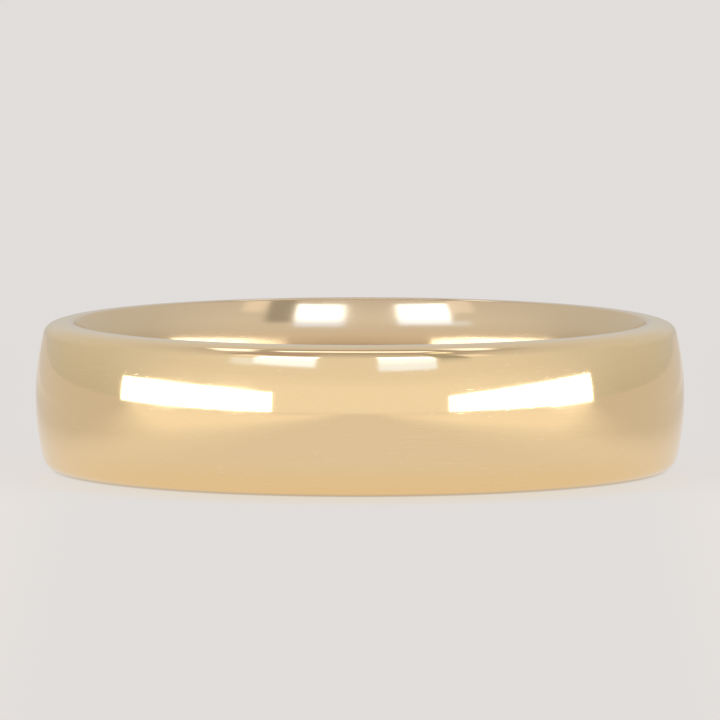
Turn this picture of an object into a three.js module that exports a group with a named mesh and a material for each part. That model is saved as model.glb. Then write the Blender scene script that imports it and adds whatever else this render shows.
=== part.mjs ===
// A plain low-dome wedding band in yellow gold, turned as one continuous ring of metal.
// Millimetres. +Z runs along the axis of the finger hole, and the origin is the middle of the
// hole, half way across the width, so the two edges of the band lie at plus and minus half of it.
import * as THREE from 'three';

// Driving dimensions of the ring.
const BAND_WIDTH = 5;
const OUTER_DIAMETER = 21.9;
const FINGER_DIAMETER = 18.5; // at mid-width, where the hole is narrowest: a US size 8 1/2

// Driving dimensions of the section, which is the same all the way round.
const DOME_RADIUS = 8.9; // the low dome of the outside, across the width
const COMFORT_RADIUS = 10.5; // the comfort-fit swell of the inside, across the middle of it
const SHOULDER_START = 1.2; // from mid-width to where the inside opens out faster
const SHOULDER_RADIUS = 4.3;
const LAND_RADIUS = 9.95; // where the flat of each edge ends and starts to fall away outwards
const LAND_FALL_RADIUS = 1.4;
const OUTER_EDGE_ROUND = 0.45;
const INNER_EDGE_ROUND = 0.1;

const SEGMENTS_ROUND = 96;

const HALF_WIDTH = BAND_WIDTH / 2;
const OUTER_RADIUS = OUTER_DIAMETER / 2;
const FINGER_RADIUS = FINGER_DIAMETER / 2;

// Every curve of the section is an arc. The section is drawn in the half plane of x, the distance
// from the axis, and y, the place across the width, and angles turn anticlockwise from +x.
function arc(centre, radius, from, to, steps) {
  const points = [];
  for (let i = 0; i <= steps; i += 1) {
    const angle = from + ((to - from) * i) / steps;
    const x = centre.x + radius * Math.cos(angle);
    const y = centre.y + radius * Math.sin(angle);
    points.push(new THREE.Vector2(x, y));
  }
  return points;
}

// The centre of the arc that rounds a corner between two arcs and touches both from inside: it is
// the outer one of the two points at the given distances from their centres.
function roundingCentre(first, firstDistance, second, secondDistance) {
  const between = second.clone().sub(first);
  const apart = between.length();
  const along = (apart ** 2 + firstDistance ** 2 - secondDistance ** 2) / (2 * apart);
  const across = Math.sqrt(firstDistance ** 2 - along ** 2);
  between.normalize();
  const sideways = new THREE.Vector2(-between.y, between.x);
  const foot = first.clone().addScaledVector(between, along);
  const centres = [across, -across].map((way) => foot.clone().addScaledVector(sideways, way));
  return centres[0].y > centres[1].y ? centres[0] : centres[1];
}

function angleFrom(centre, point) {
  return Math.atan2(point.y - centre.y, point.x - centre.x);
}

// Half of the section, from the middle of the dome up over one edge to the middle of the inside.
function halfSection() {
  const dome = new THREE.Vector2(OUTER_RADIUS - DOME_RADIUS, 0);
  const fall = new THREE.Vector2(LAND_RADIUS, HALF_WIDTH - LAND_FALL_RADIUS);
  const outerRound = roundingCentre(
    dome,
    DOME_RADIUS - OUTER_EDGE_ROUND,
    fall,
    LAND_FALL_RADIUS - OUTER_EDGE_ROUND,
  );
  const domeEnd = angleFrom(dome, outerRound);
  const fallEnd = angleFrom(fall, outerRound);

  const comfort = new THREE.Vector2(FINGER_RADIUS + COMFORT_RADIUS, 0);
  const comfortEnd = Math.PI - Math.asin(SHOULDER_START / COMFORT_RADIUS);
  const toShoulder = COMFORT_RADIUS - SHOULDER_RADIUS;
  const shoulder = new THREE.Vector2(
    comfort.x + toShoulder * Math.cos(comfortEnd),
    toShoulder * Math.sin(comfortEnd),
  );
  const innerRoundHeight = HALF_WIDTH - INNER_EDGE_ROUND;
  const innerRoundReach = Math.sqrt(
    (SHOULDER_RADIUS - INNER_EDGE_ROUND) ** 2 - (innerRoundHeight - shoulder.y) ** 2,
  );
  const innerRound = new THREE.Vector2(shoulder.x - innerRoundReach, innerRoundHeight);
  const shoulderEnd = angleFrom(shoulder, innerRound);

  return [
    ...arc(dome, DOME_RADIUS, 0, domeEnd, 4),
    ...arc(outerRound, OUTER_EDGE_ROUND, domeEnd, fallEnd, 3).slice(1),
    ...arc(fall, LAND_FALL_RADIUS, fallEnd, Math.PI / 2, 2).slice(1),
    ...arc(innerRound, INNER_EDGE_ROUND, Math.PI / 2, shoulderEnd, 2),
    ...arc(shoulder, SHOULDER_RADIUS, shoulderEnd, comfortEnd, 3).slice(1),
    ...arc(comfort, COMFORT_RADIUS, comfortEnd, Math.PI, 2).slice(1),
  ];
}

// The closed section: the other edge is the mirror image of the first, and the outline ends on
// the point that it starts from.
function section() {
  const half = halfSection();
  const mirrored = half.map((point) => new THREE.Vector2(point.x, -point.y));
  return [...half, ...mirrored.reverse().slice(1)];
}

// The band: 14 ct yellow gold, polished to a mirror inside and out.
function makeBand() {
  const gold = new THREE.MeshStandardMaterial({
    color: 0xe9c88f,
    roughness: 0.08,
    metalness: 1,
  });
  const band = new THREE.Mesh(new THREE.LatheGeometry(section(), SEGMENTS_ROUND), gold);
  band.name = 'band';
  band.rotation.x = Math.PI / 2;
  return band;
}

const weddingBand = new THREE.Group();
weddingBand.add(makeBand());

export default weddingBand;
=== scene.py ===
"""A plain wedding band in polished 14 ct yellow gold, lying flat on a pale table."""

import math

import bpy
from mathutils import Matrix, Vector


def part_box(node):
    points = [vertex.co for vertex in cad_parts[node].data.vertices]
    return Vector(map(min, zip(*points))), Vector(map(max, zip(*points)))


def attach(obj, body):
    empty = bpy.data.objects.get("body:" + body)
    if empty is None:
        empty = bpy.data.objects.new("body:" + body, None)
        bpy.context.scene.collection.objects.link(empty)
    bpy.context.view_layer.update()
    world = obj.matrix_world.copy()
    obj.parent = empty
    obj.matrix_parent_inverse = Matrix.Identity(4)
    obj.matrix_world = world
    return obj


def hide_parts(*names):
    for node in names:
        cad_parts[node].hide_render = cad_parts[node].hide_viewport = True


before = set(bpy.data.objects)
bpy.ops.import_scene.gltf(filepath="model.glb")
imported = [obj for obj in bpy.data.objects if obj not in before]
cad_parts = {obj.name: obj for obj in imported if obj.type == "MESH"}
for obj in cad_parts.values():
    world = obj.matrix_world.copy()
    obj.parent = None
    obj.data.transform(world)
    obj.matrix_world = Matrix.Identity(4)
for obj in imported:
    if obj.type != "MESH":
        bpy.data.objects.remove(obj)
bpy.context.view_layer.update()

# ---------------------------------------------------------------------------------------------
# The band
# One ring of 14 ct yellow gold, turned from a single blank and polished to a mirror: a low dome
# outside, a comfort-fit swell inside, slim flat edges. It lies loose on the table.

MM = 0.001
outer_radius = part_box("band")[1][0]
half_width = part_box("band")[1][2]
finger_radius = 9.25 * MM  # at mid-width, where the hole is narrowest
dome_radius = 8.9 * MM  # across the width, outside
comfort_radius = 10.5 * MM  # across the middle of the width, inside
shoulder_start = 1.2 * MM  # from mid-width to where the inside begins to curve away faster
shoulder_radius = 4.3 * MM
inner_edge_round = 0.1 * MM
land_radius = 9.95 * MM  # where the flat of the edge ends and starts to fall away
land_fall_radius = 1.4 * MM
outer_edge_round = 0.45 * MM
degrees_a_step = 2.0  # along the arcs of the section
fewest_steps = 3  # on the shortest of those arcs
steps_round = 360
weld_gap = 0.001 * MM  # points closer together than this become one


def touching_round(first, first_distance, second, second_distance):
    """The centre, as (x, z), of a round that lies inside two arcs and touches both of them."""
    across = Vector(second) - Vector(first)
    apart = across.length
    along = (apart**2 + first_distance**2 - second_distance**2) / (2 * apart)
    sideways = math.sqrt(first_distance**2 - along**2)
    across.normalize()
    return (
        first[0] + across.x * along - across.y * sideways,
        first[1] + across.y * along + across.x * sideways,
    )


def heading(centre, point):
    """The direction from a centre to a point of the section, in degrees from straight out."""
    return math.degrees(math.atan2(point[1] - centre[1], point[0] - centre[0]))


def below(centre):
    """The same centre on the lower half of the section."""
    return (centre[0], -centre[1])


def swing(centre, turn):
    """Carries the loose end of the section round an arc about the centre, by turn degrees."""
    bpy.ops.mesh.spin(
        steps=max(fewest_steps, round(turn / degrees_a_step)),
        angle=math.radians(turn),
        center=(centre[0], 0.0, centre[1]),
        axis=(0.0, 1.0, 0.0),
    )


def draw_out(distance):
    """Carries the loose end of the section straight on, outwards from the axis or back to it."""
    bpy.ops.mesh.extrude_region_move(TRANSFORM_OT_translate={"value": (distance, 0.0, 0.0)})


# the centres of the arcs, from the dome over the upper edge to the inside
dome = (outer_radius - dome_radius, 0.0)
fall = (land_radius, half_width - land_fall_radius)
outer_round = touching_round(
    dome, dome_radius - outer_edge_round, fall, land_fall_radius - outer_edge_round
)
comfort = (finger_radius + comfort_radius, 0.0)
comfort_turn = math.degrees(math.asin(shoulder_start / comfort_radius))
to_shoulder = comfort_radius - shoulder_radius
shoulder = (
    comfort[0] - to_shoulder * math.cos(math.radians(comfort_turn)),
    to_shoulder * math.sin(math.radians(comfort_turn)),
)
inner_round_height = half_width - inner_edge_round
inner_round_rise = inner_round_height - shoulder[1]
inner_round = (
    shoulder[0] - math.sqrt((shoulder_radius - inner_edge_round) ** 2 - inner_round_rise**2),
    inner_round_height,
)

# how far each arc turns, in the same order
dome_turn = heading(dome, outer_round)
outer_round_turn = heading(fall, outer_round) - dome_turn
fall_turn = 90.0 - heading(fall, outer_round)
inner_round_turn = heading(shoulder, inner_round) - 90.0
shoulder_turn = 180.0 - comfort_turn - heading(shoulder, inner_round)
flat_of_edge = land_radius - inner_round[0]

bpy.ops.object.select_all(action="DESELECT")
bpy.ops.mesh.primitive_plane_add(size=MM, location=(outer_radius, 0.0, 0.0))
band = bpy.context.object
band.name = "gold_band"
bpy.ops.object.transform_apply(location=True, rotation=True, scale=True)
bpy.ops.object.mode_set(mode="EDIT")
bpy.ops.mesh.merge(type="CENTER")
swing(dome, dome_turn)
swing(outer_round, outer_round_turn)
swing(fall, fall_turn)
draw_out(-flat_of_edge)
swing(inner_round, inner_round_turn)
swing(shoulder, shoulder_turn)
swing(comfort, 2 * comfort_turn)
swing(below(shoulder), shoulder_turn)
swing(below(inner_round), inner_round_turn)
draw_out(flat_of_edge)
swing(below(fall), fall_turn)
swing(below(outer_round), outer_round_turn)
swing(dome, dome_turn)
bpy.ops.mesh.select_all(action="SELECT")
bpy.ops.mesh.remove_doubles(threshold=weld_gap)
bpy.ops.mesh.spin(
    steps=steps_round, angle=2 * math.pi, center=(0.0, 0.0, 0.0), axis=(0.0, 0.0, 1.0)
)
bpy.ops.mesh.select_all(action="SELECT")
bpy.ops.mesh.remove_doubles(threshold=weld_gap)
bpy.ops.mesh.normals_make_consistent(inside=False)
bpy.ops.object.mode_set(mode="OBJECT")
bpy.ops.object.shade_smooth()


class Wire:
    """A socket of a node tree. Arithmetic on it lays the Math nodes that work the result out."""

    def __init__(self, tree, socket):
        self.tree = tree
        self.socket = socket

    def __add__(self, other):
        return self.tree.maths("ADD", self, other)

    def __radd__(self, other):
        return self.tree.maths("ADD", other, self)

    def __sub__(self, other):
        return self.tree.maths("SUBTRACT", self, other)

    def __rsub__(self, other):
        return self.tree.maths("SUBTRACT", other, self)

    def __mul__(self, other):
        return self.tree.maths("MULTIPLY", self, other)

    def __rmul__(self, other):
        return self.tree.maths("MULTIPLY", other, self)

    def __truediv__(self, other):
        return self.tree.maths("DIVIDE", self, other)

    def __pow__(self, other):
        return self.tree.maths("POWER", self, other)

    def __neg__(self):
        return 0 - self

    def __abs__(self):
        return self.tree.maths("ABSOLUTE", self)

    def rises(self, low, high):
        """0 below low and 1 above high, with a smooth change between them."""
        ends = {"Value": self, "From Min": low, "From Max": high}
        return self.tree.node("MapRange", {"interpolation_type": "SMOOTHSTEP"}, ends)

    def between(self, low, high, softness):
        """1 between the two values and 0 outside them, with edges as soft as given."""
        half = softness / 2
        return self.rises(low - half, low + half) * (1 - self.rises(high - half, high + half))


class Tree:
    """The nodes of one material, or of the light of the room."""

    def __init__(self, owner):
        owner.use_nodes = True
        self.tree = owner.node_tree
        self.tree.nodes.clear()

    def node(self, kind, settings=None, inputs=None, output=0):
        """Adds a node: its settings first, then a value or a Wire for each socket named."""
        made = self.tree.nodes.new("ShaderNode" + kind)
        for name, setting in (settings or {}).items():
            setattr(made, name, setting)
        for name, given in (inputs or {}).items():
            if isinstance(given, Wire):
                self.tree.links.new(given.socket, made.inputs[name])
            else:
                made.inputs[name].default_value = given
        return Wire(self, made.outputs[output]) if made.outputs else None

    def maths(self, operation, *given):
        """One Math node on one or two values or Wires."""
        return self.node("Math", {"operation": operation}, dict(enumerate(given)))

    def ramp(self, value, stops):
        """A colour for each value from 0 to 1, given as (place, red, green, blue) stops."""
        coloured = self.node("ValToRGB", {}, {"Fac": value})
        marks = coloured.socket.node.color_ramp.elements
        while len(marks) < len(stops):
            marks.new(1.0)
        for mark, (place, *colour) in zip(marks, stops):
            mark.position = place
            mark.color = (*colour, 1.0)
        return coloured

    def blend(self, first, second, mask):
        """The first colour where the mask is 0, and the second where it is 1."""
        # a Mix node has these sockets once for each kind of value, so colours go by number
        first_socket, second_socket, mixed_socket = 6, 7, 2
        first, second = (
            colour if isinstance(colour, Wire) else (*colour, 1.0) for colour in (first, second)
        )
        given = {"Factor": mask, first_socket: first, second_socket: second}
        return self.node("Mix", {"data_type": "RGBA"}, given, output=mixed_socket)

    def split(self, vector):
        """The x, y and z of a vector."""
        parts = self.node("SeparateXYZ", {}, {"Vector": vector})
        return [Wire(self, socket) for socket in parts.socket.node.outputs]


gold_in_a_groove = (0.93, 0.702, 0.402)
gold_on_a_ridge = (1.0, 0.774, 0.462)
gold_in_a_nick = (1.0, 0.80, 0.51)
shaded_gold_inside_middle = (0.61, 0.445, 0.26)  # painted shade: darker, where the hole's walls reflect one another
shaded_gold_inside_rim = (0.82, 0.64, 0.42)
inside_ends = (9.78 * MM, 9.9 * MM)  # from the axis: the painted shade of the inside fades out over these
rim_starts = (0.8 * MM, 1.9 * MM)  # from mid-width: the painted shade of the middle turns to the lighter one of the rim

gold = bpy.data.materials.new("polished_gold")
paint = Tree(gold)
across, back, up = paint.split(paint.node("TexCoord", output="Object"))
from_axis = (across * across + back * back) ** 0.5
inside = 1 - from_axis.rises(*inside_ends)


def round_the_band(cells_round, cells_across):
    """Coordinates that close on themselves: cells per turn, and per metre across the band."""
    turned = {
        "X": across / from_axis * cells_round,
        "Y": back / from_axis * cells_round,
        "Z": up * cells_across + from_axis * cells_across,
    }
    return paint.node("CombineXYZ", {}, turned)


def grain(place, detail=2.0, roughness=0.5):
    """A noise that wanders about noise_middle, finer with more detail and roughness."""
    given = {"Vector": place, "Scale": 1.0, "Detail": detail, "Roughness": roughness}
    return paint.node("TexNoise", {}, given)


# polishing lines run round the band; the finer set comes and goes in scuffed patches along it
noise_middle = 0.5
fine_lines = grain(round_the_band(9.0, 26000.0), detail=2.0, roughness=0.6)
coarse_lines = grain(round_the_band(5.0, 7000.0), detail=2.0, roughness=0.55)
patches = grain(round_the_band(4.5, 420.0), detail=3.0)
smudges = grain(round_the_band(14.0, 1300.0), detail=4.0, roughness=0.6)
scuffed = patches.rises(0.42, 0.68)
nicks = grain(round_the_band(34.0, 15000.0), detail=1.0).rises(0.66, 0.74)

streak_contrast = 0.9
nick_contrast = 0.5
streaks = (fine_lines - noise_middle) * scuffed * streak_contrast + noise_middle
tone = paint.blend(gold_in_a_groove, gold_on_a_ridge, streaks)
tone = paint.blend(tone, gold_in_a_nick, nick_contrast * nicks)
# painted shade: the inside of the hole is darker gold than the outside, most of all at mid-width
painted_inside_shade = paint.blend(shaded_gold_inside_middle, shaded_gold_inside_rim, abs(up).rises(*rim_starts))
tone = paint.blend(tone, painted_inside_shade, inside)

mirror_roughness = 0.04
scuff_roughness = 0.07
smudge_roughness = 0.03
inside_roughness = 0.04
roughness = (
    mirror_roughness
    + fine_lines * scuffed * scuff_roughness
    + smudges * smudge_roughness
    + inside * inside_roughness
)

line_depth = 0.0001 * MM
fine_depth = 2.2  # these three in line depths
coarse_depth = 1.6
nick_depth = 1.5
lines = fine_lines * scuffed * fine_depth + coarse_lines * coarse_depth + nicks * nick_depth
bump = paint.node("Bump", {}, {"Strength": 1.0, "Distance": line_depth, "Height": lines})
polish = {"Base Color": tone, "Metallic": 1.0, "Roughness": roughness, "Normal": bump}
surface = paint.node("BsdfPrincipled", {}, polish)
paint.node("OutputMaterial", {}, {"Surface": surface})
band.data.materials.append(gold)
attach(band, "root")
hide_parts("band")

# ---------------------------------------------------------------------------------------------
# The table
# A wide sheet of pale card that the ring lies on. Its light is painted: it glows so evenly that
# the ring casts next to no shadow, with a painted warm reflection close to the gold, painted pools
# of light where the softboxes shine, painted shade beside and behind the ring, and a thin painted
# contact shadow under the band's edge.

table_reach = 3.0
table_sides = 96
card_paint = (0.075, 0.07, 0.066)
card_glow = (0.700, 0.673, 0.655)
# the colours of the card's painted light and shade
glow_far_in_front = (0.86, 0.82, 0.78)
glow_far_behind = (0.54, 0.52, 0.50)
painted_gold_reflection_colour = (0.73, 0.645, 0.52)
painted_light_pool_colour = (0.91, 0.86, 0.80)
glow_in_shade = (0.58, 0.555, 0.535)
painted_contact_shadow_colour = (0.52, 0.45, 0.35)

# each pair is where a change of the glow begins and where it is complete
front_begins = (-1.0 * MM, 14.0 * MM)  # from the axis towards the front
painted_gold_reflection_ends = (10.4 * MM, 14.0 * MM)  # from the axis, like the next three
painted_pools_end = (40.0 * MM, 200.0 * MM)
close_shade_ends = (30.0 * MM, 60.0 * MM)
far_in_front_begins = (90.0 * MM, 350.0 * MM)
far_behind_begins = (280.0 * MM, 900.0 * MM)
painted_pools_begin = (7.0 * MM, 25.0 * MM)  # from the middle to either side, like the next two
close_shade_begins = (11.6 * MM, 19.0 * MM)
wide_shade_begins = (19.0 * MM, 34.0 * MM)
contact_shadow_line = (9.9 * MM, 10.3 * MM)  # from the axis, where the band curves up off the card: the painted contact shadow
contact_shadow_softness = 0.4 * MM

bpy.ops.object.select_all(action="DESELECT")
bpy.ops.mesh.primitive_circle_add(
    vertices=table_sides,
    radius=table_reach,
    fill_type="NGON",
    location=(0.0, 0.0, -half_width),
)
table = bpy.context.object
table.name = "table"
bpy.ops.object.transform_apply(location=True, rotation=True, scale=True)

card = bpy.data.materials.new("pale_card")
paint = Tree(card)
across, back, up = paint.split(paint.node("TexCoord", output="Object"))
from_axis = (across * across + back * back) ** 0.5
aside = abs(across)
in_front = (-back).rises(*front_begins)
behind_ring = 1 - in_front
# painted light and shade: the card's glow is brighter far in front and darker far behind
far_in_front = in_front * from_axis.rises(*far_in_front_begins)
far_behind = behind_ring * from_axis.rises(*far_behind_begins)
# painted reflection: the card is warmer just in front of the ring, as if the gold lit it
painted_gold_reflection = (1 - from_axis.rises(*painted_gold_reflection_ends)) * in_front
# painted pools of light on the card, to each side in front of the ring
painted_light_pools = aside.rises(*painted_pools_begin) * in_front * (1 - from_axis.rises(*painted_pools_end))
close_shade = aside.rises(*close_shade_begins) * (1 - from_axis.rises(*close_shade_ends))
wide_shade = aside.rises(*wide_shade_begins)
shade = paint.maths("MAXIMUM", close_shade, wide_shade) * behind_ring
# painted contact shadow: a thin darker ring on the card under the band's edge
painted_contact_shadow = from_axis.between(*contact_shadow_line, contact_shadow_softness)
glow = paint.blend(card_glow, glow_far_in_front, far_in_front)
glow = paint.blend(glow, glow_far_behind, far_behind)
glow = paint.blend(glow, painted_gold_reflection_colour, painted_gold_reflection)
glow = paint.blend(glow, painted_light_pool_colour, painted_light_pools)
glow = paint.blend(glow, glow_in_shade, shade)
glow = paint.blend(glow, painted_contact_shadow_colour, painted_contact_shadow)
matt_card = {
    "Base Color": (*card_paint, 1.0),
    "Roughness": 0.7,
    "Specular IOR Level": 0.0,
    "Emission Color": glow,
    "Emission Strength": 1.0,
}
surface = paint.node("BsdfPrincipled", {}, matt_card)
paint.node("OutputMaterial", {}, {"Surface": surface})
table.data.materials.append(card)

# ---------------------------------------------------------------------------------------------
# The room
# Pale walls, brightest behind the camera and greyer behind the ring, under a darker ceiling. Two
# cool panels hang above the camera and four lights overhead; a softbox stands at each side.

room_brightness = 0.975
back_wall_begins = (-0.85, 0.35)  # how far back a direction points, from -1 to 1
ceiling_begins = (0.2, 0.3)  # how steeply a direction points up, from 0 to 1
lowest_overhead = 0.01  # the same measure, below which the plan of the ceiling isn't followed

room = bpy.data.worlds.new("room")
bpy.context.scene.world = room
air = Tree(room)
right, behind, above = air.split(air.node("TexCoord", output="Generated"))
turn = air.maths("ARCTAN2", right, -behind) * math.degrees(1.0)
lift = air.maths("ARCSINE", above) * math.degrees(1.0)
front_wall = air.ramp(
    above,
    [
        (0.0, 0.93, 0.89, 0.85),
        (0.17, 0.93, 0.89, 0.85),
        (0.25, 0.85, 0.815, 0.78),
        (0.37, 0.81, 0.80, 0.775),
        (0.5, 0.78, 0.765, 0.74),
        (0.68, 0.69, 0.67, 0.66),
        (0.77, 0.63, 0.61, 0.60),
        (0.87, 0.56, 0.53, 0.52),
        (0.94, 0.50, 0.46, 0.46),
        (1.0, 0.55, 0.52, 0.50),
    ],
)
back_wall = air.ramp(
    above,
    [
        (0.0, 0.58, 0.57, 0.54),
        (0.1, 0.62, 0.61, 0.58),
        (0.2, 0.65, 0.65, 0.64),
        (0.6, 0.68, 0.68, 0.69),
        (0.82, 0.66, 0.65, 0.66),
        (0.93, 0.46, 0.42, 0.42),
        (1.0, 0.55, 0.52, 0.50),
    ],
)
walls = air.blend(front_wall, back_wall, behind.rises(*back_wall_begins))


def on_the_walls(colour, turns, lifts, soft_turn, soft_lift):
    """Lays a colour on the walls between two bearings and two heights, all in degrees."""
    mask = turn.between(*turns, soft_turn) * lift.between(*lifts, soft_lift)
    return air.blend(walls, colour, mask)


def panel(foot_colour, turns, lifts, soft_turn, soft_lift):
    """Hangs a panel of cool light on the walls, dimmer at its foot than higher up."""
    colour = air.ramp(lift / 90, [(0.22, *foot_colour), (0.31, 2.2, 2.5, 3.1)])
    return on_the_walls(colour, turns, lifts, soft_turn, soft_lift)


# a dark beam high up on each side, and a dim stand beside the right panel
walls = on_the_walls((0.47, 0.40, 0.41), (-66.0, -22.0), (47.0, 67.0), 8.0, 5.0)
walls = on_the_walls((0.49, 0.45, 0.46), (22.0, 62.0), (55.0, 72.0), 8.0, 5.0)
walls = on_the_walls((0.44, 0.43, 0.41), (30.0, 42.0), (21.0, 57.0), 3.0, 4.0)
# light that the panels throw on the wall beyond them, and below the left one
walls = on_the_walls((1.0, 0.96, 0.95), (-52.0, -41.0), (29.0, 46.0), 3.0, 3.0)
walls = on_the_walls((1.02, 0.98, 0.95), (43.0, 54.0), (30.0, 46.0), 3.0, 3.0)
walls = on_the_walls((0.93, 1.02, 1.2), (-49.0, -40.0), (17.8, 22.0), 4.0, 1.5)
# the panels themselves, left and right
walls = panel((1.12, 1.36, 1.9), (-40.2, -16.4), (18.6, 38.0), 2.0, 1.0)
walls = panel((1.02, 1.22, 1.7), (6.7, 28.5), (17.4, 38.0), 1.0, 1.0)

# the plan of the ceiling, level and one unit above the table
steepness = air.maths("MAXIMUM", above, lowest_overhead)
overhead_x = right / steepness
overhead_y = -behind / steepness


def ceiling_light(colour, middle, size, tilt, softness):
    """Lays a rectangular light on the ceiling, with its long side tilt degrees from the x axis."""
    turned = math.radians(tilt)
    from_middle_x = overhead_x - middle[0]
    from_middle_y = overhead_y - middle[1]
    lengthwise = from_middle_x * math.cos(turned) + from_middle_y * math.sin(turned)
    sideways = from_middle_y * math.cos(turned) - from_middle_x * math.sin(turned)
    half_length, half_breadth = size[0] / 2, size[1] / 2
    mask = lengthwise.between(-half_length, half_length, softness)
    mask = mask * sideways.between(-half_breadth, half_breadth, softness)
    return air.blend(walls, colour, mask * above.rises(*ceiling_begins))


walls = ceiling_light((1.6, 1.7, 1.9), (-0.02, -0.03), (0.50, 0.20), 4.0, 0.05)
walls = ceiling_light((1.5, 1.6, 1.8), (-0.39, -0.22), (0.50, 0.16), 110.0, 0.07)
walls = ceiling_light((1.4, 1.5, 1.7), (0.27, -0.42), (0.56, 0.12), 70.0, 0.07)
walls = ceiling_light((1.4, 1.45, 1.2), (0.34, 0.22), (0.20, 0.10), 65.0, 0.05)
light = air.node("Background", {}, {"Color": walls, "Strength": room_brightness})
air.node("OutputWorld", {}, {"Surface": light})


def spot(bearing, distance):
    """A place on the plan: bearing 0 is straight in front, and bearings grow to the right."""
    turned = math.radians(bearing)
    return Vector((distance * math.sin(turned), -distance * math.cos(turned), 0.0))


def softbox(name, one_post, other_post, top, radiance):
    """An upright panel that stands on the table between two (bearing, distance) posts."""
    start = spot(*one_post)
    end = spot(*other_post)
    along = end - start
    lamp = bpy.data.lights.new(name, "AREA")
    lamp.shape = "RECTANGLE"
    lamp.size = along.length
    lamp.size_y = top + half_width
    lamp.energy = radiance * math.pi * lamp.size * lamp.size_y
    box = bpy.data.objects.new(name, lamp)
    bpy.context.scene.collection.objects.link(box)
    box.location = (start + end) / 2 + Vector((0.0, 0.0, (top - half_width) / 2))
    facing = along.cross(Vector((0.0, 0.0, 1.0))).normalized()
    if facing.dot(box.location) > 0:
        facing = -facing
    box.rotation_mode = "QUATERNION"
    box.rotation_quaternion = facing.to_track_quat("-Z", "Y")
    box.visible_camera = False


softbox("left_softbox", (-92.5, 0.33), (-30.8, 0.30), top=37.2 * MM, radiance=3.6)
softbox("right_softbox", (31.2, 0.36), (89.0, 0.26), top=35.5 * MM, radiance=3.6)

# ---------------------------------------------------------------------------------------------
# The camera
# A long lens a little above the table, looking across the ring so that the near rim hides the
# lower half of the inside.

camera_elevation = math.radians(4.98)
camera_distance = 45 * outer_radius
aim = Vector((0.0, 0.0, 1.176 * MM))
camera_lens = bpy.data.cameras.new("camera")
camera_lens.sensor_width = 36.0
camera_lens.lens = 729.9
camera_lens.clip_start = 0.01
camera_lens.clip_end = 10.0
camera = bpy.data.objects.new("camera", camera_lens)
bpy.context.scene.collection.objects.link(camera)
camera.location = (
    0.0,
    -camera_distance * math.cos(camera_elevation),
    camera_distance * math.sin(camera_elevation),
)
camera.rotation_mode = "QUATERNION"
camera.rotation_quaternion = (aim - camera.location).to_track_quat("-Z", "Y")
bpy.context.scene.camera = camera
bpy.context.scene.view_settings.view_transform = "Standard"
